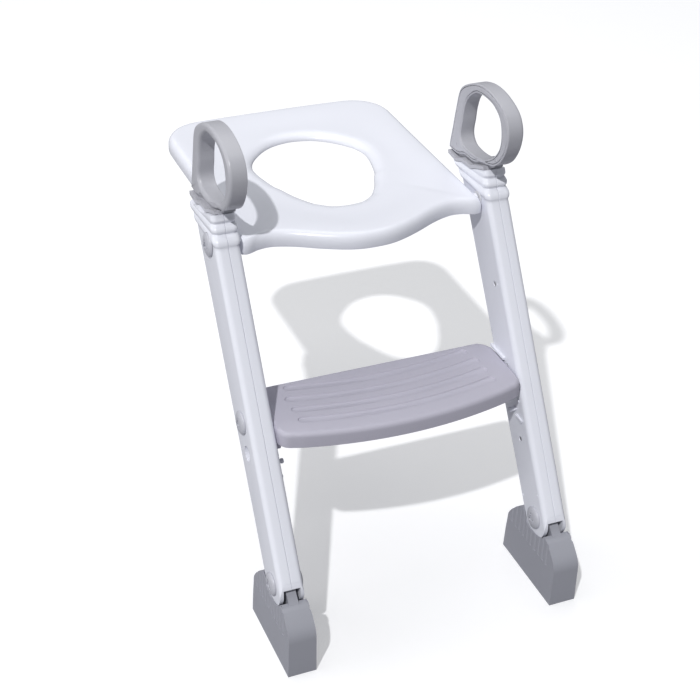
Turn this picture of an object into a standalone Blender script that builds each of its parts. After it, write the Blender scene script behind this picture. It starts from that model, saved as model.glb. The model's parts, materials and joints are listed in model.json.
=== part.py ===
# Child's toilet ladder seat: a seat that rests on the toilet, a leaning two-rail ladder
# with grip rings, a folding step and two swivelling feet.
# Metres, +Z up, +Y towards the toilet. Side profiles are (y, z) measured from the toes.
import math

import bmesh
import bpy
from mathutils import Vector

# overall frame
depthOverall = 0.5945
yMid = depthOverall / 2
sliver = 0.0003

# ladder rails
railX = 0.1742
railHalf = 0.0153
lean = math.radians(32)
railFront = 0.0272
railBackLow = 0.0262
railEndR = 0.0268
seamHalf = 0.00015
wallSide = 0.0030
cheek = 0.0048
footPivot = (0.0620, 0.0940)
hingeAlong = 0.4040
hingeFwd = 0.0020
stepAlong = 0.1930
screwSpots = ((0.100, 0.000), (0.296, 0.006))
peepAlong, peepFwd, peepR = 0.1555, -0.002, 0.0095
pegSpot = (0.1345, 0.2128)

# hardware
hingeBoltR, stepBoltR, footPinR = 0.0035, 0.0025, 0.0040
boreGap = 0.0003
capR, capRise = 0.0145, 0.0040

# seat
seatTop, seatLow = 0.4456, 0.4258
holeLow = 0.4335
padLow = 0.4243

# step
stepTop, stepLow = 0.2620, 0.2420
stepWall = 0.0035
grooveHalf, grooveDepth = 0.0062, 0.0008

# feet
footHalf = 0.0178
footSlotHalf = 0.0157
footSlotR = 0.0285
footSwing = math.radians(12)

# grips
gripIn, gripOut = 0.1610, 0.1820
coverDepth = 0.0020

up = (math.sin(lean), math.cos(lean))
out = (-math.cos(lean), math.sin(lean))


def onRail(along, fwd):
    return (footPivot[0] + along * up[0] + fwd * out[0], footPivot[1] + along * up[1] + fwd * out[1])


hinge = onRail(hingeAlong, hingeFwd)
stepAxis = onRail(stepAlong, 0.0)

for old in list(bpy.data.objects):
    bpy.data.objects.remove(old, do_unlink=True)


def makeMaterial(name, colour, roughness, metallic=0.0):
    mat = bpy.data.materials.new(name)
    mat.use_nodes = True
    shader = mat.node_tree.nodes["Principled BSDF"]
    shader.inputs["Base Color"].default_value = (*colour, 1)
    shader.inputs["Roughness"].default_value = roughness
    shader.inputs["Metallic"].default_value = metallic
    return mat


materials = {
    "white": makeMaterial("white_plastic", (0.86, 0.87, 0.90), 0.25),
    "grey": makeMaterial("grey_plastic", (0.36, 0.37, 0.40), 0.40),
    "lilac": makeMaterial("lilac_plastic", (0.42, 0.40, 0.47), 0.55),
    "rubber": makeMaterial("dark_rubber", (0.08, 0.08, 0.09), 0.80),
    "steel": makeMaterial("steel", (0.62, 0.62, 0.64), 0.30, 1.0),
}


def solid(name, points, faces):
    mesh = bpy.data.meshes.new(name)
    mesh.from_pydata([(x, y - yMid, z) for x, y, z in points], [], faces)
    shape = bmesh.new()
    shape.from_mesh(mesh)
    bmesh.ops.recalc_face_normals(shape, faces=shape.faces)
    shape.to_mesh(mesh)
    shape.free()
    obj = bpy.data.objects.new(name, mesh)
    bpy.context.collection.objects.link(obj)
    return obj


def loft(name, rings, loop=False):
    count, faces = len(rings[0]), []
    last = len(rings) if loop else len(rings) - 1
    for i in range(last):
        a, b = i * count, (i + 1) % len(rings) * count
        for k in range(count):
            j = (k + 1) % count
            faces.append((a + k, a + j, b + j, b + k))
    if not loop:
        faces.append(tuple(range(count)))
        faces.append(tuple(range(last * count, (last + 1) * count)))
    return solid(name, [p for ring in rings for p in ring], faces)


def sidePrism(name, outline, x0, x1):
    return loft(name, [[(x, y, z) for y, z in outline] for x in (x0, x1)])


def planPrism(name, outline, z0, z1):
    return loft(name, [[(x, y, z) for x, y in outline] for z in (z0, z1)])


def circle(centre, radius, count, start=0.0):
    turn = 2 * math.pi / count
    return [(centre[0] + radius * math.cos(start + turn * k), centre[1] + radius * math.sin(start + turn * k))
            for k in range(count)]


def turned(name, centre, profile, count=16):
    # a round piece on an X axis: profile is a list of (x, radius)
    return loft(name, [[(x, y, z) for y, z in circle(centre, radius, count)] for x, radius in profile])


def combine(target, tool, operation):
    tool.hide_render = True
    tool.display_type = "WIRE"
    step = target.modifiers.new("combine", "BOOLEAN")
    step.operation = operation
    step.solver = "EXACT"
    step.object = tool
    graph = bpy.context.evaluated_depsgraph_get()
    merged = bpy.data.meshes.new_from_object(target.evaluated_get(graph))
    target.modifiers.clear()
    target.data = merged
    bpy.data.objects.remove(tool, do_unlink=True)
    return target


def cut(target, tool):
    return combine(target, tool, "DIFFERENCE")


def join(target, tool):
    return combine(target, tool, "UNION")


def drill(target, centre, span, radius, count=16):
    return cut(target, turned("bore", centre, [(span[0], radius), (span[1], radius)], count))


def arc(centre, radius, angles):
    return [(centre[0] + radius * math.cos(math.radians(a)), centre[1] + radius * math.sin(math.radians(a)))
            for a in angles]


def rectangle(centre, halfX, halfY):
    x, y = centre
    return [(x - halfX, y - halfY), (x + halfX, y - halfY), (x + halfX, y + halfY), (x - halfX, y + halfY)]


def twin(obj, name):
    # the mirror-image piece on the other side
    other = bpy.data.objects.new(name, obj.data.copy())
    bpy.context.collection.objects.link(other)
    shape = bmesh.new()
    shape.from_mesh(other.data)
    for vert in shape.verts:
        vert.co.x = -vert.co.x
    bmesh.ops.reverse_faces(shape, faces=shape.faces)
    shape.to_mesh(other.data)
    shape.free()
    return other


def finish(obj, material, axis=None, smooth=40):
    mesh = obj.data
    mesh.materials.clear()
    mesh.materials.append(materials[material])
    shape = bmesh.new()
    shape.from_mesh(mesh)
    bmesh.ops.remove_doubles(shape, verts=shape.verts, dist=0.000002)
    bmesh.ops.triangulate(shape, faces=shape.faces)
    limit = math.radians(smooth)
    for face in shape.faces:
        face.smooth = True
        face.material_index = 0
    for edge in shape.edges:
        edge.smooth = len(edge.link_faces) == 2 and edge.calc_face_angle(0) < limit
    if axis:
        origin = Vector((0, axis[0] - yMid, axis[1]))
        for vert in shape.verts:
            vert.co -= origin
        obj.location = origin
    shape.to_mesh(mesh)
    shape.free()
    return obj


def pair(obj, stem, material, axis):
    obj.name = obj.data.name = stem + "_right"
    other = twin(obj, stem + "_left")
    finish(obj, material, axis)
    finish(other, material, axis)


def smoothCurve(points, parts):
    # closed curve through the given points
    curve, count = [], len(points)
    for i in range(count):
        p0, p1, p2, p3 = (Vector(points[(i + k - 1) % count]) for k in range(4))
        for j in range(parts):
            t = j / parts
            curve.append(tuple(0.5 * (2 * p1 + (p2 - p0) * t + (2 * p0 - 5 * p1 + 4 * p2 - p3) * t * t
                                      + (3 * p1 - p0 - 3 * p2 + p3) * t ** 3)))
    return curve


def mirrored(half):
    # half outline from the front centre to the back centre, completed on the other side
    return [tuple(p) for p in half] + [(-x, y) for x, y in reversed(half) if x > 1e-6]


def resample(points, count):
    closed = list(points) + [points[0]]
    run = [0.0]
    for a, b in zip(closed, closed[1:]):
        run.append(run[-1] + math.dist(a, b))
    result, k = [], 0
    for i in range(count):
        want = run[-1] * i / count
        while run[k + 1] < want:
            k += 1
        t = (want - run[k]) / (run[k + 1] - run[k])
        a, b = closed[k], closed[k + 1]
        result.append((a[0] + (b[0] - a[0]) * t, a[1] + (b[1] - a[1]) * t))
    return result


def rayHit(centre, angle, outline):
    # where a ray from the centre leaves a closed outline
    dx, dy = math.cos(angle), math.sin(angle)
    best = 0.0
    for a, b in zip(outline, outline[1:] + outline[:1]):
        ex, ey = b[0] - a[0], b[1] - a[1]
        den = dx * ey - dy * ex
        if abs(den) < 1e-12:
            continue
        ax, ay = a[0] - centre[0], a[1] - centre[1]
        t, s = (ax * ey - ay * ex) / den, (ax * dy - ay * dx) / den
        if t > best and -1e-9 <= s <= 1 + 1e-9:
            best = t
    return (centre[0] + dx * best, centre[1] + dy * best)


def offset(outline, amount):
    # moves a counter-clockwise outline inwards by amount (outwards when negative)
    moved, count = [], len(outline)
    for i in range(count):
        a, b, c = outline[i - 1], outline[i], outline[(i + 1) % count]
        tx, ty = c[0] - a[0], c[1] - a[1]
        size = math.hypot(tx, ty) or 1.0
        moved.append((b[0] - ty / size * amount, b[1] + tx / size * amount))
    return moved


def railRing(front, back, half, corner, tail, parts=4):
    # rounded rectangle across a rail: front and back are (y, z) on its centre plane
    a, b = Vector(front), Vector(back)
    length = (b - a).length
    way = (b - a) / length
    ring = []
    spots = ((1, length, tail, 0), (1, 0, corner, 1), (-1, 0, corner, 2), (-1, length, tail, 3))
    for side, end, radius, turn in spots:
        ru, rv = radius
        for k in range(parts + 1):
            angle = math.pi / 2 * k / parts
            c, s = math.cos(angle), math.sin(angle)
            if turn in (1, 3):
                c, s = s, c
            c, s = (s, c) if turn in (0, 1) else (c, s)
            if turn in (1, 2):
                u, v = half - ru + ru * s, rv - rv * c
            else:
                u, v = half - ru + ru * s, length - rv + rv * c
            p = a + way * v
            ring.append((railX + side * u, p[0], p[1]))
    return ring


def unwind(ring):
    # orders the points of a rail ring around its middle
    cx = sum(p[0] for p in ring) / len(ring)
    cy = sum(p[1] for p in ring) / len(ring)
    return sorted(ring, key=lambda p: math.atan2(p[1] - cy, (p[0] - cx) * 2.2))


def railFrontAt(z):
    along = (z - footPivot[1] - railFront * out[1]) / up[1]
    return (footPivot[0] + along * up[0] + railFront * out[0], z)


def railBackAt(z):
    share = max(0.0, min(1.0, (z - 0.094) / 0.31))
    thick = railBackLow + 0.0095 * share
    along = (z - footPivot[1] + thick * out[1]) / up[1]
    return (footPivot[0] + along * up[0] - thick * out[0], z)


print("rails")
bigCorner, smallCorner = (0.0080, 0.0094), (0.0050, 0.0060)
stations = [(railFrontAt(z), railBackAt(z), railHalf) for z in (0.050, 0.150, 0.290, 0.436)]
stations += [
    ((0.2478, 0.4432), (0.3230, 0.4432), 0.0150), ((0.2486, 0.4470), (0.3262, 0.4455), 0.0156),
    ((0.2500, 0.4510), (0.3300, 0.4475), 0.0159), ((0.2530, 0.4550), (0.3345, 0.4495), 0.0156),
    ((0.2566, 0.4578), (0.3375, 0.4510), 0.0149), ((0.2570, 0.4608), (0.3420, 0.4528), 0.0155),
    ((0.2590, 0.4648), (0.3475, 0.4548), 0.0156), ((0.2628, 0.4688), (0.3510, 0.4568), 0.0150),
    ((0.2680, 0.4716), (0.3525, 0.4592), 0.0132),
]
rail = loft("rail", [unwind(railRing(f, b, w, bigCorner, smallCorner)) for f, b, w in stations])

wallEnd = 0.0031
inner = []
for z, half in ((0.050, railHalf - cheek), (0.128, railHalf - cheek), (0.134, railHalf - wallSide),
                (0.430, railHalf - wallSide), (0.4455, 0.0115)):
    f, b = railFrontAt(z), railBackAt(z)
    inner.append(unwind(railRing((f[0] + wallEnd, z), (b[0] - wallEnd, z), half, (0.0055, 0.0065),
                                 (0.0030, 0.0035))))
cut(rail, loft("core", inner))

roundEnd = arc(footPivot, railEndR, range(148, 329, 12))
roundEnd += [onRail(0, -0.09), onRail(-0.09, -0.09), onRail(-0.09, 0.09), onRail(0, 0.09)]
cut(rail, sidePrism("round_end", roundEnd, railX - 0.03, railX + 0.03))
fork = [onRail(-0.06, -0.06), onRail(0.0, -0.06), onRail(0.0, 0.0), onRail(-0.0077, 0.0),
        onRail(-0.0077, 0.06), onRail(-0.06, 0.06)]
cut(rail, sidePrism("fork", fork, railX - railHalf + cheek, railX + railHalf - cheek))

for spot, radius in [(hinge, 0.0082), (stepAxis, 0.0070)] + [(onRail(*s), 0.0048) for s in screwSpots]:
    join(rail, turned("boss", spot, [(railX - 0.0141, radius), (railX + 0.0141, radius)], 16))

ribTop = [(0.1785, 0.2623), (0.2095, 0.2623), (0.2095, 0.2663), (0.1785, 0.2663)]
join(rail, sidePrism("stop_rib", ribTop, railX - railHalf - 0.0030, railX - 0.0140))
ribLow = [onRail(0.1330, -0.0030), onRail(0.1220, 0.0155), onRail(0.1201, 0.0144), onRail(0.1311, -0.0041)]
join(rail, sidePrism("low_rib", ribLow, railX - railHalf - 0.0014, railX - 0.0140))

flangeLow = [(0.3685, 0.4598), (0.3560, 0.4585), (0.3420, 0.4580), (0.3330, 0.4610), (0.3250, 0.4640),
             (0.3130, 0.4650), (0.3010, 0.4660), (0.2910, 0.4705), (0.2810, 0.4745), (0.2710, 0.4780),
             (0.2610, 0.4818), (0.2480, 0.4890)]
above = [(y, z - 0.0008) for y, z in flangeLow] + [(0.2300, 0.4980), (0.2300, 0.5300), (0.3900, 0.5300),
                                                   (0.3900, 0.4590)]
cut(rail, sidePrism("neck_top", above, railX - 0.03, railX + 0.03))

gripX = (gripIn + gripOut) / 2
postHalf, postY, postLow = 0.0085, (0.2642, 0.3000), 0.4525
socket = [(postY[0] - sliver, postLow - sliver), (postY[1] + sliver, postLow - sliver),
          (postY[1] + sliver, 0.5), (postY[0] - sliver, 0.5)]
cut(rail, sidePrism("socket", socket, gripX - postHalf - sliver, gripX + postHalf + sliver))

inFace, outFace = railX - railHalf, railX + railHalf
beyondIn, beyondOut = railX - 0.03, railX + 0.03
drill(rail, hinge, (beyondIn, beyondOut), hingeBoltR + boreGap)
drill(rail, hinge, (outFace - 0.0024, beyondOut), 0.0072)
drill(rail, hinge, (outFace, beyondOut), capR + 0.0004, 20)
drill(rail, hinge, (beyondIn, inFace), 0.0095)
drill(rail, stepAxis, (beyondIn, beyondOut), stepBoltR + boreGap)
drill(rail, stepAxis, (outFace - 0.0022, beyondOut), 0.0060)
drill(rail, footPivot, (beyondIn, beyondOut), footPinR + boreGap)
drill(rail, pegSpot, (beyondIn, railX - 0.0090), 0.0030)
drill(rail, onRail(peepAlong, peepFwd), (railX + 0.0090, beyondOut), peepR, 24)
for spot in screwSpots:
    drill(rail, onRail(*spot), (beyondIn, railX + 0.0100), 0.0018, 12)
    drill(rail, onRail(*spot), (beyondIn, inFace + 0.0026), 0.0034)


def halfRail(name, low, high):
    half = bpy.data.objects.new(name, rail.data.copy())
    bpy.context.collection.objects.link(half)
    box = [(-0.05, 0.0), (0.70, 0.0), (0.70, 0.70), (-0.05, 0.70)]
    return cut(half, sidePrism("beyond", box, low, high))


outer = halfRail("rail_outer", railX - 0.05, railX + seamHalf)
innerHalf = halfRail("rail_inner", railX - seamHalf, railX + 0.05)
bpy.data.objects.remove(rail, do_unlink=True)
pair(outer, "rail_outer", "white", hinge)
pair(innerHalf, "rail_inner", "white", hinge)

print("grips")
gripOuter = [(0.3655, 0.4695), (0.3600, 0.4968), (0.3545, 0.5240), (0.3485, 0.5480), (0.3385, 0.5600),
             (0.3170, 0.5720), (0.2990, 0.5780), (0.2830, 0.5803), (0.2660, 0.5798), (0.2500, 0.5768),
             (0.2370, 0.5725), (0.2255, 0.5655), (0.2180, 0.5550), (0.2155, 0.5430), (0.2180, 0.5280),
             (0.2240, 0.5150), (0.2320, 0.5040), (0.2420, 0.4960), (0.2510, 0.4915), (0.2620, 0.4880),
             (0.2720, 0.4857), (0.2820, 0.4832), (0.2910, 0.4787), (0.3030, 0.4754), (0.3165, 0.4748),
             (0.3265, 0.4735), (0.3361, 0.4690), (0.3480, 0.4665), (0.3600, 0.4664)]
gripHole = [(0.3375, 0.4956), (0.3350, 0.5140), (0.3325, 0.5308), (0.3245, 0.5490), (0.3060, 0.5640),
            (0.2900, 0.5682), (0.2730, 0.5690), (0.2560, 0.5667), (0.2400, 0.5572), (0.2335, 0.5400),
            (0.2355, 0.5215), (0.2495, 0.5035), (0.2695, 0.4917), (0.2860, 0.4865), (0.3031, 0.4838),
            (0.3180, 0.4836), (0.3300, 0.4860)]
middle = (0.2850, 0.5270)
rim = resample(smoothCurve(gripOuter, 3), 46)
if sum(a[0] * b[1] - b[0] * a[1] for a, b in zip(rim, rim[1:] + rim[:1])) < 0:
    rim.reverse()
bore = smoothCurve(gripHole, 4)
eye = [rayHit(middle, math.atan2(z - middle[1], y - middle[0]), bore) for y, z in rim]


def hoop(name, section):
    # section: (outline, inset, x) steps around a closed loop; the hole is inset outwards
    rings = []
    for which, inset, x in section:
        line = offset(rim, inset) if which == "rim" else offset(eye, -inset)
        rings.append([(x, y, z) for y, z in line])
    return loft(name, rings, loop=True)


grip = hoop("grip", [("rim", 0, gripIn), ("rim", 0, gripOut - 0.0050), ("rim", 0.0012, gripOut - 0.0018),
                     ("rim", 0.0045, gripOut), ("eye", 0.0040, gripOut), ("eye", 0.0010, gripOut - 0.0016),
                     ("eye", 0, gripOut - 0.0045), ("eye", 0, gripIn), ("eye", 0.0018, gripIn),
                     ("eye", 0.0018, gripIn + coverDepth), ("rim", 0.0022, gripIn + coverDepth),
                     ("rim", 0.0022, gripIn)])
flangeUp = [(y + 0.0008, z + 0.0052) for y, z in flangeLow]
band = [(0.3700, 0.4612)] + flangeLow + [(0.2440, 0.4925), (0.2455, 0.4965)] + flangeUp[::-1]
join(grip, sidePrism("band", band, gripX - 0.0128, gripX + 0.0128))
web = [(0.3560, 0.4600), (0.3320, 0.4625), (0.3010, 0.4675), (0.2710, 0.4795), (0.2520, 0.4885),
       (0.2560, 0.4960), (0.2760, 0.4870), (0.3050, 0.4790), (0.3330, 0.4765), (0.3560, 0.4700)]
join(grip, sidePrism("web", web, gripX - 0.0060, gripX + 0.0060))
post = [(postY[0], postLow), (postY[1], postLow), (postY[1], 0.4720), (postY[0], 0.4860)]
join(grip, sidePrism("post", post, gripX - postHalf, gripX + postHalf))
cover = hoop("cover", [("rim", 0.0025, gripIn - 0.0002), ("rim", 0.0025, gripIn + coverDepth - sliver),
                       ("eye", 0.0021, gripIn + coverDepth - sliver), ("eye", 0.0021, gripIn - 0.0002)])
plugSpots = [(0.3520, 0.5250), (0.2900, 0.5745), (0.2420, 0.5030), (0.3450, 0.4790)]
for spot in plugSpots:
    drill(grip, spot, (gripIn, gripIn + 0.0090), 0.0017, 12)
    drill(cover, spot, (gripIn - 0.01, gripIn + 0.01), 0.0017, 12)
pair(grip, "grip_body", "grey", hinge)
pair(cover, "grip_cover", "grey", hinge)
for k, spot in enumerate(plugSpots):
    plug = turned("plug", spot, [(gripIn - 0.0002, 0.0014), (gripIn + 0.0080, 0.0014)], 12)
    pair(plug, f"grip_plug_{k + 1}", "grey", hinge)

print("hardware")


def dome(name, centre, face, direction):
    profile = [(0.0003, capR), (0.0014, capR), (0.0030, capR - 0.0026), (capRise, capR - 0.0090)]
    return turned(name, centre, [(face + direction * x, r) for x, r in profile], 20)


pair(dome("cap", hinge, outFace, 1), "hinge_cap", "grey", hinge)
pair(dome("cap", stepAxis, outFace, 1), "step_cap", "grey", hinge)
pair(dome("cap", footPivot, outFace, 1), "foot_cap_outer", "grey", hinge)
pair(dome("cap", footPivot, inFace, -1), "foot_cap_inner", "grey", hinge)
hingeBolt = [(0.1345, hingeBoltR), (outFace - 0.0022, hingeBoltR), (outFace - 0.0021, 0.0068),
             (outFace - 0.0003, 0.0068)]
pair(turned("bolt", hinge, hingeBolt), "hinge_bolt", "steel", hinge)
stepBolt = [(0.1405, stepBoltR), (outFace - 0.0020, stepBoltR), (outFace - 0.0019, 0.0056),
            (outFace - 0.0003, 0.0056)]
pair(turned("bolt", stepAxis, stepBolt), "step_bolt", "steel", hinge)
footPin = [(inFace + 0.0002, footPinR), (outFace - 0.0002, footPinR)]
pair(turned("pin", footPivot, footPin), "foot_pin", "steel", hinge)
peg = [(inFace - 0.0100, 0.0024), (inFace - 0.0092, 0.0032), (inFace - 0.0070, 0.0032),
       (inFace - 0.0066, 0.0027), (inFace + 0.0027, 0.0027)]
pair(turned("peg", pegSpot, peg), "stop_peg", "white", hinge)
screw = [(inFace + 0.0006, 0.0031), (inFace + 0.0023, 0.0031), (inFace + 0.0024, 0.0015),
         (railX + 0.0095, 0.0015)]
for k, spot in enumerate(screwSpots):
    pair(turned("screw", onRail(*spot), screw, 12), f"rail_screw_{k + 1}", "steel", hinge)
washer = turned("washer", hinge, [(0.1575, 0.0090), (0.1586, 0.0090)])
pair(drill(washer, hinge, (0.15, 0.17), hingeBoltR + boreGap), "hinge_washer", "grey", hinge)

print("seat")
seatHalf = [(0.0, 0.2215), (0.0200, 0.2230), (0.0400, 0.2290), (0.0650, 0.2405), (0.0870, 0.2525),
            (0.1050, 0.2600), (0.1200, 0.2632), (0.1350, 0.2610), (0.1440, 0.2570), (0.1515, 0.2560),
            (0.1562, 0.2595), (0.1572, 0.2660), (0.1572, 0.2900), (0.1568, 0.3400), (0.1565, 0.4000),
            (0.1563, 0.4600), (0.1563, 0.5300), (0.1550, 0.5495), (0.1505, 0.5640), (0.1415, 0.5765),
            (0.1300, 0.5855), (0.1150, 0.5910), (0.0950, 0.5930), (0.0500, 0.5942), (0.0, 0.5945)]
holeHalf = [(0.0, 0.3035), (0.0180, 0.3065), (0.0300, 0.3165), (0.0380, 0.3264), (0.0510, 0.3502),
            (0.0610, 0.3744), (0.0665, 0.3860), (0.0724, 0.4110), (0.0752, 0.4300), (0.0746, 0.4450),
            (0.0670, 0.4637), (0.0492, 0.4847), (0.0280, 0.4995), (0.0, 0.5055)]
seatMid = (0.0, 0.4200)
edge = resample(smoothCurve(mirrored(seatHalf), 4), 76)
hole = smoothCurve(mirrored(holeHalf), 4)
lip = [rayHit(seatMid, math.atan2(y - seatMid[1], x), hole) for x, y in edge]


def towards(line, goal, amount):
    # steps each point along its own ray to the goal line, so that narrow corners never cross
    moved, count = [], len(line)
    for i in range(count):
        a, b, c, g = line[i - 1], line[i], line[(i + 1) % count], goal[i]
        tx, ty, rx, ry = c[0] - a[0], c[1] - a[1], g[0] - b[0], g[1] - b[1]
        reach = math.hypot(rx, ry)
        square = abs(tx * ry - ty * rx) / (math.hypot(tx, ty) * reach)
        step = amount / max(square, 0.6) / reach
        moved.append((b[0] + rx * step, b[1] + ry * step))
    return moved


def seatRing(share, inset, z):
    # share 0 is the outer edge, 1 the hole; inset is measured away from whichever is nearer
    if share == 0:
        line = towards(edge, lip, inset)
    elif share == 1:
        line = towards(lip, edge, inset)
    else:
        line = [(a[0] + (b[0] - a[0]) * share, a[1] + (b[1] - a[1]) * share) for a, b in zip(edge, lip)]
    return [(x, y, z) for x, y in line]


seat = loft("seat_shell", [
    seatRing(0, 0, seatLow), seatRing(0, 0, 0.4385), seatRing(0, 0.0022, 0.4434),
    seatRing(0, 0.0075, seatTop), seatRing(0, 0.0160, seatTop), seatRing(0.5, 0, 0.4440),
    seatRing(1, 0.0160, 0.4434),
    seatRing(1, 0.0070, 0.4418), seatRing(1, 0.0018, 0.4380), seatRing(1, 0, holeLow),
    seatRing(1, 0.0030, holeLow), seatRing(1, 0.0046, 0.4368), seatRing(1, 0.0090, 0.4388),
    seatRing(0.5, 0, 0.4410), seatRing(0, 0.0160, 0.4426), seatRing(0, 0.0080, 0.4424),
    seatRing(0, 0.0034, 0.4380), seatRing(0, 0.0032, seatLow)], loop=True)
for side in (1, -1):
    boss = [(side * 0.1290, 0.0074), (side * 0.1555, 0.0074)]
    join(seat, turned("ear_boss", (hinge[0], hinge[1] - 0.0004), boss))
    web = [(hinge[0] - 0.0012, seatLow + 0.002), (hinge[0] + 0.0012, seatLow + 0.002),
           (hinge[0] + 0.0012, hinge[1] - 0.003), (hinge[0] - 0.0012, hinge[1] - 0.003)]
    join(seat, sidePrism("ear_web", web, side * 0.1320, side * 0.1550))
    drill(seat, hinge, (side * 0.1330, side * 0.17), hingeBoltR + boreGap)
padSpots = [("front", 0.1180, 0.3450), ("rear", 0.1080, 0.5180)]
padHalf = (0.0085, 0.0120)
for tag, x, y in padSpots:
    for side in (1, -1):
        cup = rectangle((side * x, y), padHalf[0] * 1.24, padHalf[1] * 1.17)
        room = rectangle((side * x, y), padHalf[0] + sliver, padHalf[1] + sliver)
        join(seat, planPrism("pad_cup", cup, 0.4300, 0.4421))
        cut(seat, planPrism("pad_room", room, 0.4200, 0.4340))
finish(seat, "white")
for tag, x, y in padSpots:
    pair(planPrism("pad", rectangle((x, y), *padHalf), padLow, 0.4337), "seat_pad_" + tag, "rubber", None)

print("step")


def stepOutline(inset):
    half = []
    for k in range(9):
        x = 0.1330 * k / 8
        half.append((x, 0.0951 + 0.98 * x * x))
    half += [(0.1400, 0.1160), (0.1480, 0.1205), (0.1540, 0.1272), (0.1578, 0.1365), (0.1586, 0.1480),
             (0.1586, 0.1700), (0.1586, 0.1990), (0.1572, 0.2070), (0.1530, 0.2140), (0.1468, 0.2190),
             (0.1390, 0.2212), (0.0900, 0.2212), (0.0450, 0.2212), (0.0, 0.2212)]
    return offset(mirrored(half), inset)


def stepRing(inset, z):
    return [(x, y, z) for x, y in stepOutline(inset)]


tread = loft("step_tread", [
    stepRing(stepWall, 0.2578), stepRing(stepWall, stepLow), stepRing(0.0006, stepLow),
    stepRing(0, stepLow + 0.0008),
    stepRing(0, 0.2535), stepRing(0.0018, 0.2588), stepRing(0.0048, 0.2612), stepRing(0.0090, stepTop)])
for side in (1, -1):
    block = rectangle((side * 0.14525, 0.1650), 0.01075, 0.0150)
    join(tread, planPrism("end_block", block, stepLow + 0.0004, 0.2585))
    lug = [(0.1290, 0.2440), (0.1500, 0.2440), (0.1385, 0.2163), (0.1305, 0.2163)]
    join(tread, sidePrism("lug", lug, side * 0.1512, side * 0.1560))
    cut(tread, turned("step_bolt_bore", stepAxis,
                      [(side * 0.1390, stepBoltR + boreGap), (side * 0.17, stepBoltR + boreGap)]))
for row in (0.1248, 0.1470, 0.1695, 0.1935):
    reach = 0.1225 if row < 0.19 else 0.1160
    line = [(reach * k / 6, row + 0.95 * (reach * k / 6) ** 2) for k in range(-6, 7)]
    front = [(x, y - grooveHalf) for x, y in line]
    back = [(x, y + grooveHalf) for x, y in reversed(line)]
    ends = []
    for x, y in (line[-1], line[0]):
        way = 1 if x > 0 else -1
        ends.append([(x + way * grooveHalf * math.cos(a), y + way * grooveHalf * math.sin(a))
                     for a in (-math.pi / 3, -math.pi / 6, 0, math.pi / 6, math.pi / 3)])
    cut(tread, planPrism("groove", front + ends[0] + back + ends[1], stepTop - grooveDepth, stepTop + 0.01))
finish(tread, "lilac", stepAxis)

plateHalf = [(0.1320 * k / 8, 0.0951 + 0.98 * (0.1320 * k / 8) ** 2 + stepWall + 0.0006) for k in range(9)]
plateHalf += [(0.1320, 0.2172), (0.0, 0.2172)]
plate = planPrism("step_base", mirrored(plateHalf), stepLow + 0.0005, stepLow + 0.0025)
for x in (-0.09, -0.045, 0.0, 0.045, 0.09):
    rib = [(x - 0.001, 0.1120), (x + 0.001, 0.1120), (x + 0.001, 0.2150), (x - 0.001, 0.2150)]
    join(plate, planPrism("rib", rib, stepLow + 0.0015, 0.2574))
finish(plate, "lilac", stepAxis)

print("feet")
footSide = [(0.0, 0.0), (0.1265, 0.0), (0.1248, 0.0300), (0.1222, 0.0560), (0.1190, 0.0622), (0.1140, 0.0690),
            (0.1045, 0.0795), (0.0960, 0.0868), (0.0915, 0.0895), (0.0872, 0.0893), (0.0840, 0.0855),
            (0.0805, 0.0800), (0.0765, 0.0765), (0.0700, 0.0740), (0.0640, 0.0732), (0.0570, 0.0733),
            (0.0500, 0.0743), (0.0430, 0.0767), (0.0380, 0.0795), (0.0345, 0.0830), (0.0318, 0.0862),
            (0.0280, 0.0853), (0.0215, 0.0818), (0.0140, 0.0755), (0.0075, 0.0688), (0.0030, 0.0622),
            (0.0008, 0.0550), (0.0, 0.0470)]
foot = sidePrism("foot", footSide, railX - footHalf, railX + footHalf)
slot = (railX - footSlotHalf, railX + footSlotHalf)
cut(foot, turned("foot_slot", footPivot, [(slot[0], footSlotR), (slot[1], footSlotR)], 36))
for swing in (-footSwing, 0, footSwing):
    path = []
    for along, fwd in ((-0.004, -0.0288), (0.06, -0.0312), (0.06, 0.0288), (-0.004, 0.0288)):
        a, b = along * up[0] + fwd * out[0], along * up[1] + fwd * out[1]
        path.append((footPivot[0] + a * math.cos(swing) - b * math.sin(swing),
                     footPivot[1] + a * math.sin(swing) + b * math.cos(swing)))
    cut(foot, sidePrism("swing_room", path, slot[0], slot[1]))
lipNotch = [(0.0100, 0.0798), (0.0450, 0.0798), (0.0450, 0.1000), (0.0100, 0.1000)]
cut(foot, sidePrism("lip_notch", lipNotch, slot[0], slot[1]))
tongueHalf = 0.0060
tongue = arc(footPivot, 0.0160, range(-60, 151, 15))
tongue += [(0.0225, 0.0794), (0.0270, 0.0640), (footPivot[0] + 0.0130, footPivot[1] - 0.0400)]
join(foot, sidePrism("tongue", tongue, railX - tongueHalf, railX + tongueHalf))
drill(foot, footPivot, (railX - 0.01, railX + 0.01), footPinR + boreGap)
sole = [(-0.0148, 0.0080), (0.0148, 0.0080), (0.0148, 0.1180), (-0.0148, 0.1180)]
room = [(railX + x + sliver * (1 if x > 0 else -1), y + sliver * (1 if y > 0.06 else -1)) for x, y in sole]
cut(foot, planPrism("sole_room", room, -0.01, 0.0028))
pair(foot, "foot", "grey", footPivot)
pair(planPrism("sole", [(railX + x, y) for x, y in sole], 0.0, 0.0025), "foot_sole", "rubber", footPivot)

bpy.context.view_layer.update()
for obj in sorted(bpy.data.objects, key=lambda o: o.name):
    print(obj.name, len(obj.data.polygons))
print("total", sum(len(o.data.polygons) for o in bpy.data.objects), "nodes", len(bpy.data.objects))
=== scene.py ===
import bpy
import bmesh
import json
import math
from mathutils import Vector, Matrix


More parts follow.
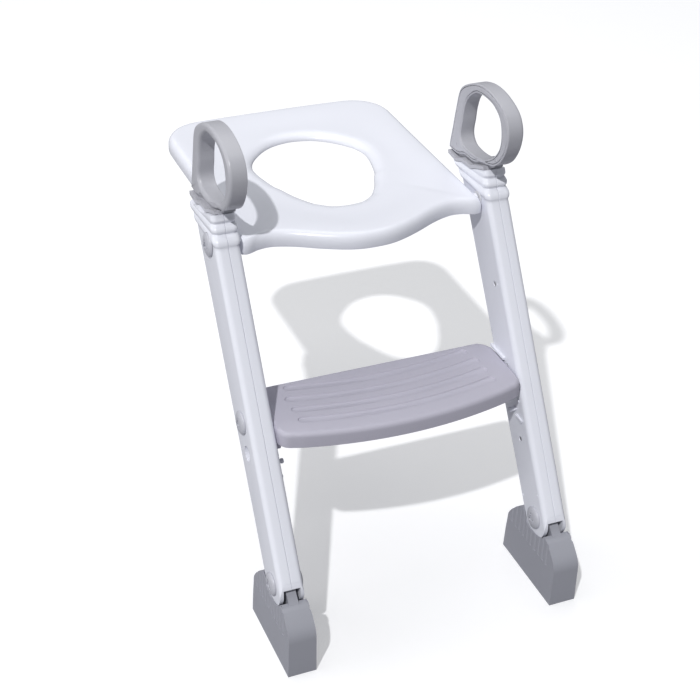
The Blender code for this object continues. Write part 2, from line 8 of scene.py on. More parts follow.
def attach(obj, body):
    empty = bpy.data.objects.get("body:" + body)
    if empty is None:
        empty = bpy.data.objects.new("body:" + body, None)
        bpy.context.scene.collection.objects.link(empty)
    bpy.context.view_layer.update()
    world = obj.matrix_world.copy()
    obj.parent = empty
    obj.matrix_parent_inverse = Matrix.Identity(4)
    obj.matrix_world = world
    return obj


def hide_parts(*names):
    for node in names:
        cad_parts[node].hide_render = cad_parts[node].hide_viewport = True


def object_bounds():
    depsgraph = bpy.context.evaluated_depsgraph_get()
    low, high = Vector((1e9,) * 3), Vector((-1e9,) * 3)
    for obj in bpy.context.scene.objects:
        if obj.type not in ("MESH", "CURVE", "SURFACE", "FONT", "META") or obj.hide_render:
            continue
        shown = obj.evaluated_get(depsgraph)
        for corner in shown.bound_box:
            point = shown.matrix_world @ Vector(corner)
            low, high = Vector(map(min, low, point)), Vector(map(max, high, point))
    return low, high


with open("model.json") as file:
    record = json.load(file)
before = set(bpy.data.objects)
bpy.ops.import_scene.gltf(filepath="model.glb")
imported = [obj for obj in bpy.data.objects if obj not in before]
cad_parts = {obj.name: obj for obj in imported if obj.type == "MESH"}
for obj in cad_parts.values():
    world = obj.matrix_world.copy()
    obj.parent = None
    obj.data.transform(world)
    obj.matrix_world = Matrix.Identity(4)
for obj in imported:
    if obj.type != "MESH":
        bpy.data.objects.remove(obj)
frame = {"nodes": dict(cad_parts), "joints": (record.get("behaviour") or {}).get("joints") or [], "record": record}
cadLow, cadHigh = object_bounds()
nodes = frame["nodes"]
scene = bpy.context.scene


print("materials")


def newGroup(name, inputs, outputs):
    group = bpy.data.node_groups.new(name, "ShaderNodeTree")
    for label, kind, value in inputs:
        socket = group.interface.new_socket(label, in_out="INPUT", socket_type="NodeSocket" + kind)
        socket.default_value = value
    for label, kind in outputs:
        group.interface.new_socket(label, in_out="OUTPUT", socket_type="NodeSocket" + kind)
    return group, group.nodes.new("NodeGroupInput"), group.nodes.new("NodeGroupOutput")


def wire(tree, source, target):
    tree.links.new(source, target)


def buildMottle():
    # slow drift of tone over a moulded surface, plus a fine haze in the gloss
    group, start, end = newGroup(
        "mottledTone",
        [("Tint", "Color", (0.5, 0.5, 0.5, 1)), ("Scale", "Float", 18.0), ("Drift", "Float", 0.03),
         ("Gloss", "Float", 0.3), ("Gloss Drift", "Float", 0.05)],
        [("Color", "Color"), ("Roughness", "Float")])
    place = group.nodes.new("ShaderNodeTexCoord")
    cloud = group.nodes.new("ShaderNodeTexNoise")
    cloud.inputs["Detail"].default_value = 4
    wire(group, place.outputs["Object"], cloud.inputs["Vector"])
    wire(group, start.outputs["Scale"], cloud.inputs["Scale"])
    centred = group.nodes.new("ShaderNodeMath")
    centred.operation = "SUBTRACT"
    centred.inputs[1].default_value = 0.5
    wire(group, cloud.outputs["Fac"], centred.inputs[0])
    tone = group.nodes.new("ShaderNodeMath")
    tone.operation = "MULTIPLY_ADD"
    tone.inputs[2].default_value = 1
    wire(group, centred.outputs[0], tone.inputs[0])
    wire(group, start.outputs["Drift"], tone.inputs[1])
    tint = group.nodes.new("ShaderNodeVectorMath")
    tint.operation = "SCALE"
    wire(group, start.outputs["Tint"], tint.inputs[0])
    wire(group, tone.outputs[0], tint.inputs["Scale"])
    gloss = group.nodes.new("ShaderNodeMath")
    gloss.operation = "MULTIPLY_ADD"
    wire(group, centred.outputs[0], gloss.inputs[0])
    wire(group, start.outputs["Gloss Drift"], gloss.inputs[1])
    wire(group, start.outputs["Gloss"], gloss.inputs[2])
    wire(group, tint.outputs[0], end.inputs["Color"])
    wire(group, gloss.outputs[0], end.inputs["Roughness"])
    return group


def buildGrain():
    # fine pebbled skin of a textured mould
    group, start, end = newGroup(
        "mouldGrain",
        [("Scale", "Float", 900.0), ("Softness", "Float", 0.5)],
        [("Height", "Float")])
    place = group.nodes.new("ShaderNodeTexCoord")
    pebble = group.nodes.new("ShaderNodeTexNoise")
    pebble.inputs["Detail"].default_value = 3
    wire(group, place.outputs["Object"], pebble.inputs["Vector"])
    wire(group, start.outputs["Scale"], pebble.inputs["Scale"])
    wire(group, start.outputs["Softness"], pebble.inputs["Roughness"])
    wire(group, pebble.outputs["Fac"], end.inputs["Height"])
    return group


mottle, grain = buildMottle(), buildGrain()


def plastic(name, look):
    mat = bpy.data.materials.new(name)
    mat.use_nodes = True
    tree = mat.node_tree
    shader = tree.nodes["Principled BSDF"]
    tone = tree.nodes.new("ShaderNodeGroup")
    tone.node_tree = mottle
    tone.inputs["Tint"].default_value = (*look["colour"], 1)
    tone.inputs["Scale"].default_value = look.get("driftScale", 18)
    tone.inputs["Drift"].default_value = look.get("drift", 0.03)
    tone.inputs["Gloss"].default_value = look["roughness"]
    tone.inputs["Gloss Drift"].default_value = look.get("glossDrift", 0.06)
    wire(tree, tone.outputs["Color"], shader.inputs["Base Color"])
    wire(tree, tone.outputs["Roughness"], shader.inputs["Roughness"])
    skin = tree.nodes.new("ShaderNodeGroup")
    skin.node_tree = grain
    skin.inputs["Scale"].default_value = look["grainScale"]
    bump = tree.nodes.new("ShaderNodeBump")
    bump.inputs["Strength"].default_value = look["grain"]
    bump.inputs["Distance"].default_value = look["grainDepth"]
    wire(tree, skin.outputs["Height"], bump.inputs["Height"])
    wire(tree, bump.outputs["Normal"], shader.inputs["Normal"])
    shader.inputs["Metallic"].default_value = look.get("metallic", 0)
    shader.inputs["IOR"].default_value = look.get("ior", 1.47)
    return mat


looks = {
    "white": {"colour": (0.855, 0.866, 0.935), "roughness": 0.24, "grain": 0.10, "grainScale": 500,
              "grainDepth": 0.0002, "drift": 0.02},
    "grey": {"colour": (0.49, 0.49, 0.53), "roughness": 0.34, "grain": 0.15, "grainScale": 900,
             "grainDepth": 0.0002, "drift": 0.05},
    "capGrey": {"colour": (0.53, 0.535, 0.585), "roughness": 0.34, "grain": 0.12, "grainScale": 900,
                "grainDepth": 0.0002, "drift": 0.05},
    "footGrey": {"colour": (0.365, 0.37, 0.415), "roughness": 0.5, "grain": 0.25, "grainScale": 1200,
                 "grainDepth": 0.0003, "drift": 0.06},
    "lilac": {"colour": (0.50, 0.485, 0.565), "roughness": 0.55, "grain": 0.5, "grainScale": 1500,
              "grainDepth": 0.0004, "drift": 0.05},
    "rubber": {"colour": (0.05, 0.05, 0.055), "roughness": 0.8, "grain": 0.4, "grainScale": 1300,
               "grainDepth": 0.0003, "drift": 0.1},
    "steel": {"colour": (0.6, 0.6, 0.62), "roughness": 0.3, "grain": 0.2, "grainScale": 1500,
              "grainDepth": 0.0002, "metallic": 1},
    "nylon": {"colour": (0.75, 0.75, 0.77), "roughness": 0.5, "grain": 0.2, "grainScale": 1500,
              "grainDepth": 0.0002},
}
finishes = {name: plastic(name, look) for name, look in looks.items()}

bySlot = {"white_gloss": "white", "grip_grey": "grey", "cap_grey": "capGrey", "foot_grey": "footGrey",
          "step_lilac": "lilac", "rubber": "rubber", "steel": "steel", "washer": "nylon"}
slotOf = {row["node"]: row["material_slot"] for row in frame["record"]["subparts"]}
for name, node in nodes.items():
    node.data.materials.clear()
    node.data.materials.append(finishes[bySlot[slotOf[name]]])

toes = cadLow.y  # side outlines are (y, z) measured from the toes
seamGap = 0.00015  # half the hairline between two rail halves


def solid(name, points, faces):
    mesh = bpy.data.meshes.new(name)
    mesh.from_pydata([(x, y + toes, z) for x, y, z in points], [], faces)
    shape = bmesh.new()
    shape.from_mesh(mesh)
    bmesh.ops.recalc_face_normals(shape, faces=shape.faces)
    shape.to_mesh(mesh)
    shape.free()
    obj = bpy.data.objects.new(name, mesh)
    scene.collection.objects.link(obj)
    return obj


def loft(name, rings, loop=False):
    count = len(rings[0])
    last = len(rings) if loop else len(rings) - 1
    faces = []
    for i in range(last):
        a, b = i * count, (i + 1) % len(rings) * count
        faces += [(a + k, a + (k + 1) % count, b + (k + 1) % count, b + k) for k in range(count)]
    if not loop:
        faces += [tuple(range(count)), tuple(range(last * count, (last + 1) * count))]
    return solid(name, [p for ring in rings for p in ring], faces)


def sidePrism(name, outline, x0, x1):
    return loft(name, [[(x, y, z) for y, z in outline] for x in (x0, x1)])


def planPrism(name, outline, z0, z1):
    return loft(name, [[(x, y, z) for x, y in outline] for z in (z0, z1)])


def arc(centre, radius, first, last, count):
    angles = [math.radians(first + (last - first) * k / count) for k in range(count + 1)]
    return [(centre[0] + radius * math.cos(a), centre[1] + radius * math.sin(a)) for a in angles]


def turned(name, centre, profile, count=48):
    # a round piece on an X axis: profile is a list of (x, radius)
    return loft(name, [[(x, y, z) for y, z in arc(centre, r, 0, 360, count)[:-1]] for x, r in profile])


def combine(target, tool, operation):
    blend = target.modifiers.new("combine", "BOOLEAN")
    blend.operation = operation
    blend.solver = "EXACT"
    blend.object = tool
    graph = bpy.context.evaluated_depsgraph_get()
    merged = bpy.data.meshes.new_from_object(target.evaluated_get(graph))
    target.modifiers.clear()
    target.data = merged
    bpy.data.objects.remove(tool, do_unlink=True)
    return target


def cut(target, tool):
    return combine(target, tool, "DIFFERENCE")


def join(target, tool):
    return combine(target, tool, "UNION")


def drill(target, centre, x0, x1, radius, count=32):
    return cut(target, turned("bore", centre, [(x0, radius), (x1, radius)], count))


def mirrorCopy(obj, name):
    other = bpy.data.objects.new(name, obj.data.copy())
    scene.collection.objects.link(other)
    shape = bmesh.new()
    shape.from_mesh(other.data)
    for vert in shape.verts:
        vert.co.x = -vert.co.x
    bmesh.ops.reverse_faces(shape, faces=shape.faces)
    shape.to_mesh(other.data)
    shape.free()
    return other


def settle(obj, body, finish, slot, replaced, soften=0.0004, sharp=32):
    # cleans the mesh, rounds its hard edges by soften and hangs it on its body
    mesh = obj.data
    mesh.materials.clear()
    mesh.materials.append(finishes[finish])
    shape = bmesh.new()
    shape.from_mesh(mesh)
    bmesh.ops.remove_doubles(shape, verts=shape.verts, dist=0.00001)
    bmesh.ops.dissolve_degenerate(shape, edges=shape.edges, dist=0.000005)
    for face in shape.faces:
        face.material_index = 0
    shape.to_mesh(mesh)
    shape.free()
    mesh.shade_smooth()
    mesh.set_sharp_from_angle(angle=math.radians(sharp))
    if soften:
        edge = obj.modifiers.new("softEdge", "BEVEL")
        edge.width = soften
        edge.segments = 2
        edge.limit_method = "ANGLE"
        edge.angle_limit = math.radians(sharp)
        edge.harden_normals = True
    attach(obj, body)
    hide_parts(*replaced)
    return obj


def settlePair(obj, stem, body, finish, slot, replaced, **how):
    obj.name = stem + ".right"
    other = mirrorCopy(obj, stem + ".left")
    for half, side in ((obj, "right"), (other, "left")):
        own = [node + "_" + side for node in replaced]
        settle(half, body.replace("SIDE", side), finish, slot, own, **how)


def smoothLine(points, parts, closed=True):
    line, count = [], len(points)
    spans = count if closed else count - 1
    for i in range(spans):
        if closed:
            p0, p1, p2, p3 = (Vector(points[(i + k - 1) % count]) for k in range(4))
        else:
            p0, p1, p2, p3 = (Vector(points[min(max(i + k - 1, 0), count - 1)]) for k in range(4))
        for j in range(parts):
            t = j / parts
            line.append(tuple(0.5 * (2 * p1 + (p2 - p0) * t + (2 * p0 - 5 * p1 + 4 * p2 - p3) * t * t
                                     + (3 * p1 - p0 - 3 * p2 + p3) * t ** 3)))
    if not closed:
        line.append(tuple(points[-1]))
    return line


def mirrored(half):
    return [tuple(p) for p in half] + [(-x, y) for x, y in reversed(half) if x > 1e-6]


def resample(points, count):
    closed = list(points) + [points[0]]
    run = [0.0]
    for a, b in zip(closed, closed[1:]):
        run.append(run[-1] + math.dist(a, b))
    result, k = [], 0
    for i in range(count):
        want = run[-1] * i / count
        while run[k + 1] < want:
            k += 1
        t = (want - run[k]) / (run[k + 1] - run[k])
        a, b = closed[k], closed[k + 1]
        result.append((a[0] + (b[0] - a[0]) * t, a[1] + (b[1] - a[1]) * t))
    return result


def rayHit(centre, angle, outline):
    # where a ray from the centre leaves a closed outline
    dx, dy = math.cos(angle), math.sin(angle)
    best = 0.0
    for a, b in zip(outline, outline[1:] + outline[:1]):
        ex, ey = b[0] - a[0], b[1] - a[1]
        den = dx * ey - dy * ex
        if abs(den) < 1e-12:
            continue
        ax, ay = a[0] - centre[0], a[1] - centre[1]
        t, s = (ax * ey - ay * ex) / den, (ax * dy - ay * dx) / den
        if t > best and -1e-9 <= s <= 1 + 1e-9:
            best = t
    return (centre[0] + dx * best, centre[1] + dy * best)


def offset(outline, amount):
    # moves a counter-clockwise outline inwards by amount
    moved, count = [], len(outline)
    for i in range(count):
        a, b, c = outline[i - 1], outline[i], outline[(i + 1) % count]
        tx, ty = c[0] - a[0], c[1] - a[1]
        size = math.hypot(tx, ty) or 1.0
        moved.append((b[0] - ty / size * amount, b[1] + tx / size * amount))
    return moved


# shared places, from the joints and the frame
joints = {row["name"]: row["pos_m"] for row in frame["joints"]}
hinge = (joints["ladder_fold"][1] - toes, joints["ladder_fold"][2])
stepAxis = (joints["step_fold"][1] - toes, joints["step_fold"][2])
railX = joints["foot_tilt_right"][0]
footPivot = (joints["foot_tilt_right"][1] - toes, joints["foot_tilt_right"][2])
lean = math.radians(32)
up = (math.sin(lean), math.cos(lean))
out = (-math.cos(lean), math.sin(lean))


def onRail(along, fwd):
    return (footPivot[0] + along * up[0] + fwd * out[0], footPivot[1] + along * up[1] + fwd * out[1])


print("seat")
seat = {
    "edge": [(0.0, 0.2215), (0.0200, 0.2230), (0.0400, 0.2290), (0.0650, 0.2405), (0.0870, 0.2525),
             (0.1050, 0.2600), (0.1200, 0.2632), (0.1350, 0.2610), (0.1440, 0.2570), (0.1515, 0.2560),
             (0.1562, 0.2595), (0.1572, 0.2660), (0.1572, 0.2900), (0.1568, 0.3400), (0.1565, 0.4000),
             (0.1563, 0.4600), (0.1563, 0.5300), (0.1550, 0.5495), (0.1505, 0.5640), (0.1415, 0.5765),
             (0.1300, 0.5855), (0.1150, 0.5910), (0.0950, 0.5930), (0.0500, 0.5942), (0.0, 0.5945)],
    "hole": [(0.0, 0.3105), (0.0180, 0.3130), (0.0310, 0.3215), (0.0395, 0.3300), (0.0525, 0.3520),
             (0.0620, 0.3750), (0.0675, 0.3865), (0.0735, 0.4115), (0.0762, 0.4305), (0.0756, 0.4460),
             (0.0682, 0.4655), (0.0500, 0.4870), (0.0284, 0.5020), (0.0, 0.5080)],
    "middle": (0.0, 0.4200), "around": 300,
    "top": 0.4456, "low": 0.4258, "holeLow": 0.4335, "dish": 0.0022, "wall": 0.0032,
    "edgeRound": (0.0090, 0.0120), "holeRound": (0.0160, 0.0092), "border": 0.0160, "funnel": 0.0230,
    # hollow underside from the hole outwards: nearest line, distance from it, height
    "under": [(1, 0.0026, 0.4335), (1, 0.0046, 0.4362), (1, 0.0120, 0.4384), (0.5, 0, 0.4408),
              (0, 0.0160, 0.4422), (0, 0.0090, 0.4418), (0, 0.0045, 0.4395)],
    "calm": 14, "boss": (0.1290, 0.1555, 0.0074), "bore": 0.0038,
    "padSpots": ((0.1180, 0.3450), (0.1080, 0.5180)), "padOuter": (0.0105, 0.0140),
    "padInner": (0.0088, 0.0123),
}
edge = resample(smoothLine(mirrored(seat["edge"]), 6), seat["around"])
hole = smoothLine(mirrored(seat["hole"]), 6)
turns = [math.atan2(y - seat["middle"][1], x) for x, y in edge]
turns = [turn + 2 * math.pi * (turn < 0 and x < -1e-6) for turn, (x, y) in zip(turns, edge)]


def calm(values, k, reach, full):
    # mean of the neighbours around a closed run, so that the rays keep an even spread
    count = len(values)
    near = [values[j % count] + full * (j // count) for j in range(k - reach, k + reach + 1)]
    return sum(near) / len(near)


rim = [rayHit(seat["middle"], calm(turns, k, seat["calm"], 2 * math.pi), hole)
       for k in range(seat["around"])]


def towards(line, goal, amount):
    # steps each point along its own ray to the goal line, so that narrow corners never cross
    moved, count = [], len(line)
    for i in range(count):
        a, b, c, g = line[i - 1], line[i], line[(i + 1) % count], goal[i]
        tx, ty, rx, ry = c[0] - a[0], c[1] - a[1], g[0] - b[0], g[1] - b[1]
        reach = math.hypot(rx, ry)
        square = abs(tx * ry - ty * rx) / (math.hypot(tx, ty) * reach)
        step = amount / max(square, 0.6) / reach
        moved.append((b[0] + rx * step, b[1] + ry * step))
    return moved


def seatRing(share, inset, z):
    # share 0 is the outer edge and 1 the hole; inset is measured away from whichever is nearer
    if share == 0:
        line = towards(edge, rim, inset)
    elif share == 1:
        line = towards(rim, edge, inset)
    else:
        line = [(a[0] + (b[0] - a[0]) * share, a[1] + (b[1] - a[1]) * share)
                for a, b in zip(edge, rim)]
    return [(x, y, z) for x, y in line]


def seatShell(s):
    wide, tall = s["edgeRound"]
    rings = [seatRing(0, 0.0010, s["low"]), seatRing(0, 0.0003, s["low"] + 0.0004),
             seatRing(0, 0, s["low"] + 0.0012), seatRing(0, 0, s["top"] - tall)]
    for k in range(1, 9):
        turn = math.pi / 2 * k / 8
        height = s["top"] - tall * (1 - math.sin(turn))
        rings.append(seatRing(0, wide * (1 - math.cos(turn)), height))
    rings.append(seatRing(0, s["border"], s["top"]))
    inner = s["top"] - s["dish"]
    for k in range(1, 8):
        share = k / 8
        drop = s["dish"] * (share * share * (3 - 2 * share))
        first, last = seatRing(0, s["border"], s["top"]), seatRing(1, s["funnel"], inner)
        rings.append([tuple(Vector(a).lerp(Vector(b), share).xy) + (s["top"] - drop,)
                      for a, b in zip(first, last)])
    rings.append(seatRing(1, s["funnel"], inner))
    wide, tall = s["holeRound"]
    for k in range(8, -1, -1):
        turn = math.pi / 2 * k / 8
        rings.append(seatRing(1, wide * (1 - math.cos(turn)), inner - tall * (1 - math.sin(turn))))
    rings += [seatRing(1, 0, s["holeLow"] + 0.0006), seatRing(1, 0.0006, s["holeLow"])]
    rings += [seatRing(*row) for row in s["under"]]
    rings += [seatRing(0, s["wall"], 0.4360), seatRing(0, s["wall"] - 0.0002, s["low"])]
    return loft("seatShell", rings, loop=True)


def pillar(x, y, halfX, halfY, z0, z1):
    corners = [(x - halfX, y - halfY), (x + halfX, y - halfY),
               (x + halfX, y + halfY), (x - halfX, y + halfY)]
    return planPrism("pillar", corners, z0, z1)


shell = seatShell(seat)
for side in (1, -1):
    near, far, bossRound = seat["boss"]
    spot = (hinge[0], hinge[1] - 0.0004)
    join(shell, turned("earBoss", spot, [(side * near, bossRound), (side * far, bossRound)]))
    drill(shell, hinge, side * 0.1330, side * 0.1700, seat["bore"])
    for x, y in seat["padSpots"]:
        join(shell, pillar(side * x, y, *seat["padOuter"], 0.4300, 0.4421))
        cut(shell, pillar(side * x, y, *seat["padInner"], 0.4200, 0.4340))
settle(shell, "seat", "white", "white_gloss", ["seat_shell"], soften=0)

print("rails")
rails = {
    "half": 0.0153, "front": 0.0272, "back": 0.0262, "backGain": 0.0095,
    "corner": (0.0068, 0.0080), "tail": (0.0050, 0.0060), "seam": 0.0006,
    "endRound": 0.0268, "cheek": 0.0048,
    "cap": 0.0149, "peepSpot": (0.1555, -0.002), "peep": 0.0095, "pegSpot": (0.1345, 0.2128),
    "stopRib": [(0.1715, 0.2623), (0.2070, 0.2623), (0.2070, 0.2656), (0.1715, 0.2656)],
    "lowRib": [(0.1140, 0.2046), (0.1300, 0.2046), (0.1300, 0.2074), (0.1140, 0.2074)],
    "socket": [(0.2639, 0.4522), (0.3003, 0.4522), (0.3003, 0.5), (0.2639, 0.5)],
    # along and across the rail from the foot pivot
    "fork": [(-0.06, -0.06), (0.0, -0.06), (0.0, -0.0231), (0.040, -0.0231),
             (0.040, 0.0241), (-0.0077, 0.0241), (-0.0077, 0.06), (-0.06, 0.06)],
    "dimples": [(0.2956, 0.0145), (0.0303, 0.0214), (0.0279, -0.0204)], "stud": (0.1290, 0.2274),
    "screws": [(0.100, 0.000), (0.296, 0.006)],
    # the neck, tier by tier: front point, back point, half width
    "neck": [((0.2478, 0.4432), (0.3230, 0.4432), 0.0150), ((0.2480, 0.4470), (0.3262, 0.4455), 0.0164),
             ((0.2498, 0.4512), (0.3300, 0.4475), 0.0168), ((0.2538, 0.4550), (0.3345, 0.4495), 0.0158),
             ((0.2572, 0.4572), (0.3375, 0.4510), 0.0147), ((0.2560, 0.4608), (0.3420, 0.4528), 0.0160),
             ((0.2572, 0.4642), (0.3465, 0.4545), 0.0164), ((0.2606, 0.4672), (0.3505, 0.4562), 0.0154),
             ((0.2622, 0.4690), (0.3520, 0.4572), 0.0145), ((0.2606, 0.4728), (0.3545, 0.4592), 0.0153),
             ((0.2618, 0.4770), (0.3560, 0.4620), 0.0150), ((0.2625, 0.4850), (0.3570, 0.4700), 0.0130)],
}


def railFrontAt(z):
    along = (z - footPivot[1] - rails["front"] * out[1]) / up[1]
    return (footPivot[0] + along * up[0] + rails["front"] * out[0], z)


def railBackAt(z):
    thick = rails["back"] + rails["backGain"] * max(0.0, min(1.0, (z - 0.094) / 0.31))
    along = (z - footPivot[1] + thick * out[1]) / up[1]
    return (footPivot[0] + along * up[0] - thick * out[0], z)


def halfRing(front, back, half, side, corner, tail, seam, parts=7):
    # half of a rail's cross section, from the front seam round to the back seam
    a, b = Vector(front), Vector(back)
    length = (b - a).length
    way = (b - a) / length
    spots = [(seamGap, seam), (seamGap + seam, 0)]
    for k in range(parts + 1):
        t = math.pi / 2 * k / parts
        spots.append((half - corner[0] + corner[0] * math.sin(t), corner[1] * (1 - math.cos(t))))
    for k in range(parts + 1):
        t = math.pi / 2 * k / parts
        spots.append((half - tail[0] + tail[0] * math.cos(t), length - tail[1] * (1 - math.sin(t))))
    spots += [(seamGap + seam, length), (seamGap, length - seam)]
    return [(railX + side * u, *(a + way * v)) for u, v in spots]


def railStations(r):
    stations = [(railFrontAt(z), railBackAt(z), r["half"]) for z in (0.050, 0.150, 0.290, 0.425, 0.436)]
    rows = [(*f, *b, w) for f, b, w in stations[-1:] + r["neck"]]
    smooth = smoothLine([Vector(row) for row in rows], 4, closed=False)
    return stations[:-1] + [((q[0], q[1]), (q[2], q[3]), q[4]) for q in smooth]


flangeLow = [(0.3685, 0.4598), (0.3560, 0.4585), (0.3420, 0.4580), (0.3330, 0.4610), (0.3250, 0.4640),
             (0.3130, 0.4650), (0.3010, 0.4660), (0.2910, 0.4705), (0.2810, 0.4745), (0.2710, 0.4780),
             (0.2610, 0.4818), (0.2480, 0.4890)]
flangeLine = smoothLine(flangeLow, 4, closed=False)
inFace, outFace = railX - rails["half"], railX + rails["half"]


def railHalf(r, side):
    shape = loft("railHalf", [halfRing(front, back, half, side, r["corner"], r["tail"], r["seam"])
                              for front, back, half in railStations(r)])
    end = arc(footPivot, r["endRound"], 148, 328, 40)
    end += [onRail(0, -0.09), onRail(-0.09, -0.09), onRail(-0.09, 0.09), onRail(0, 0.09)]
    cut(shape, sidePrism("roundEnd", end, railX - 0.03, railX + 0.03))
    cheek = r["half"] - r["cheek"]
    fork = [onRail(*spot) for spot in r["fork"]]
    cut(shape, sidePrism("fork", fork, railX - cheek, railX + cheek))
    above = [(y, z - 0.0008) for y, z in flangeLine]
    above += [(0.2300, 0.4980), (0.2300, 0.5300), (0.3900, 0.5300), (0.3900, 0.4590)]
    cut(shape, sidePrism("neckTop", above, railX - 0.03, railX + 0.03))
    cut(shape, sidePrism("socket", r["socket"], railX - 0.0115, railX + 0.0060))
    if side > 0:
        drill(shape, hinge, outFace - 0.0004, railX + 0.03, r["cap"])
        drill(shape, hinge, railX - 0.01, outFace, 0.0073)
        drill(shape, stepAxis, railX - 0.01, outFace + 0.01, 0.0061)
        drill(shape, onRail(*r["peepSpot"]), railX - 0.01, railX + 0.03, r["peep"])
    else:
        drill(shape, hinge, railX - 0.03, inFace, 0.0095)
        drill(shape, hinge, railX - 0.03, railX + 0.01, 0.0038)
        drill(shape, stepAxis, railX - 0.03, railX + 0.01, 0.0028)
        drill(shape, r["pegSpot"], railX - 0.03, inFace + 0.0062, 0.0030, 20)
        for spot in r["screws"]:
            drill(shape, onRail(*spot), railX - 0.03, inFace + 0.0026, 0.0034, 24)
            drill(shape, onRail(*spot), railX - 0.03, railX + 0.01, 0.0018, 16)
        for spot in r["dimples"]:
            drill(shape, onRail(*spot), railX - 0.03, inFace + 0.0006, 0.0016, 16)
        join(shape, sidePrism("stopRib", r["stopRib"], inFace - 0.0030, inFace + 0.0010))
        join(shape, sidePrism("lowRib", r["lowRib"], inFace - 0.0024, inFace + 0.0010))
        studEnds = [(inFace - 0.0016, 0.0024), (inFace + 0.001, 0.0024)]
        join(shape, turned("stud", r["stud"], studEnds, 20))
        drill(shape, onRail(*r["peepSpot"]), inFace + 0.0020, railX + 0.01, r["peep"])
    drill(shape, footPivot, railX - 0.03, railX + 0.03, 0.0043)
    return shape


settlePair(railHalf(rails, 1), "railOuter", "ladder", "white", "white_gloss", ["rail_outer"])
settlePair(railHalf(rails, -1), "railInner", "ladder", "white", "white_gloss", ["rail_inner"])

print("grips")
grips = {
    "in": 0.1610, "out": 0.1820, "cover": 0.0020, "middle": (0.2850, 0.5270), "around": 140,
    "flangeFront": 0.2650, "flangeBack": 0.3640, "flangeHalf": 0.0128, "flangeRise": (0.0007, 0.0044),
    "webHalf": 0.0060, "postHalf": 0.0085, "plug": 0.0017,
    "web": [(0.3560, 0.4600), (0.3320, 0.4625), (0.3010, 0.4675), (0.2710, 0.4795), (0.2520, 0.4885),
            (0.2560, 0.4960), (0.2760, 0.4870), (0.3050, 0.4790), (0.3330, 0.4765), (0.3560, 0.4700)],
    "post": [(0.2642, 0.4525), (0.3000, 0.4525), (0.3000, 0.4720), (0.2642, 0.4860)],
    "rim": [(0.3655, 0.4695), (0.3600, 0.4968), (0.3545, 0.5240), (0.3485, 0.5480), (0.3385, 0.5600),
            (0.3170, 0.5720), (0.2990, 0.5780), (0.2830, 0.5803), (0.2660, 0.5798), (0.2500, 0.5768),
            (0.2370, 0.5725), (0.2255, 0.5655), (0.2180, 0.5550), (0.2155, 0.5430), (0.2180, 0.5280),
            (0.2240, 0.5150), (0.2320, 0.5040), (0.2420, 0.4960), (0.2510, 0.4915), (0.2620, 0.4880),
            (0.2720, 0.4857), (0.2820, 0.4832), (0.2910, 0.4787), (0.3030, 0.4754), (0.3165, 0.4748),
            (0.3265, 0.4735), (0.3361, 0.4690), (0.3480, 0.4665), (0.3600, 0.4664)],
    "hole": [(0.3375, 0.4956), (0.3350, 0.5140), (0.3325, 0.5308), (0.3245, 0.5490), (0.3060, 0.5640),
             (0.2900, 0.5682), (0.2730, 0.5690), (0.2560, 0.5667), (0.2400, 0.5572), (0.2335, 0.5400),
             (0.2355, 0.5215), (0.2495, 0.5035), (0.2695, 0.4917), (0.2860, 0.4865), (0.3031, 0.4838),
             (0.3180, 0.4836), (0.3300, 0.4860)],
    "plugs": [(0.3520, 0.5250), (0.2900, 0.5745), (0.2420, 0.5030), (0.3450, 0.4790)],
}
gripRim = resample(smoothLine(grips["rim"], 6), grips["around"])
if sum(a[0] * b[1] - b[0] * a[1] for a, b in zip(gripRim, gripRim[1:] + gripRim[:1])) < 0:
    gripRim.reverse()
gripBore = smoothLine(grips["hole"], 8)
eyeY, eyeZ = grips["middle"]
gripEye = [rayHit(grips["middle"], math.atan2(z - eyeZ, y - eyeY), gripBore) for y, z in gripRim]
gripMiddle = (grips["in"] + grips["out"]) / 2


def hoop(name, section):
    # section: steps of line, inset and x around a closed loop
    rings = []
    for which, inset, x in section:
        line = offset(gripRim, inset) if which == "rim" else offset(gripEye, -inset)
        rings.append([(x, y, z) for y, z in line])
    return loft(name, rings, loop=True)


def rounded(which, radius, x, deep, parts=6, down=False):
    # a quarter round from the rim's side on to the outer face, or back off it at the hole
    steps = []
    for k in range(parts + 1):
        t = math.pi / 2 * k / parts
        steps.append((which, radius * (1 - math.cos(t)), x - deep * (1 - math.sin(t))))
    return steps[::-1] if down else steps


def gripBody(g):
    face = g["in"] + g["cover"]
    section = [("rim", 0.0007, g["in"]), ("rim", 0, g["in"] + 0.0007)]
    section += rounded("rim", 0.0042, g["out"], 0.0042)
    section += rounded("eye", 0.0044, g["out"], 0.0048, down=True)
    section += [("eye", 0, g["in"] + 0.0007), ("eye", 0.0005, g["in"]), ("eye", 0.0018, g["in"]),
                ("eye", 0.0018, face), ("rim", 0.0022, face), ("rim", 0.0022, g["in"])]
    shape = hoop("gripBody", section)
    join(shape, sidePrism("web", g["web"], gripMiddle - g["webHalf"], gripMiddle + g["webHalf"]))
    return shape


def gripFlange(g):
    ahead, rise = g["flangeRise"]
    lower = [(y, z) for y, z in flangeLine if g["flangeFront"] < y < g["flangeBack"]]
    upper = [(y + ahead, z + rise) for y, z in lower]
    reach = g["flangeHalf"]
    return sidePrism("flange", lower + upper[::-1], gripMiddle - reach, gripMiddle + reach)


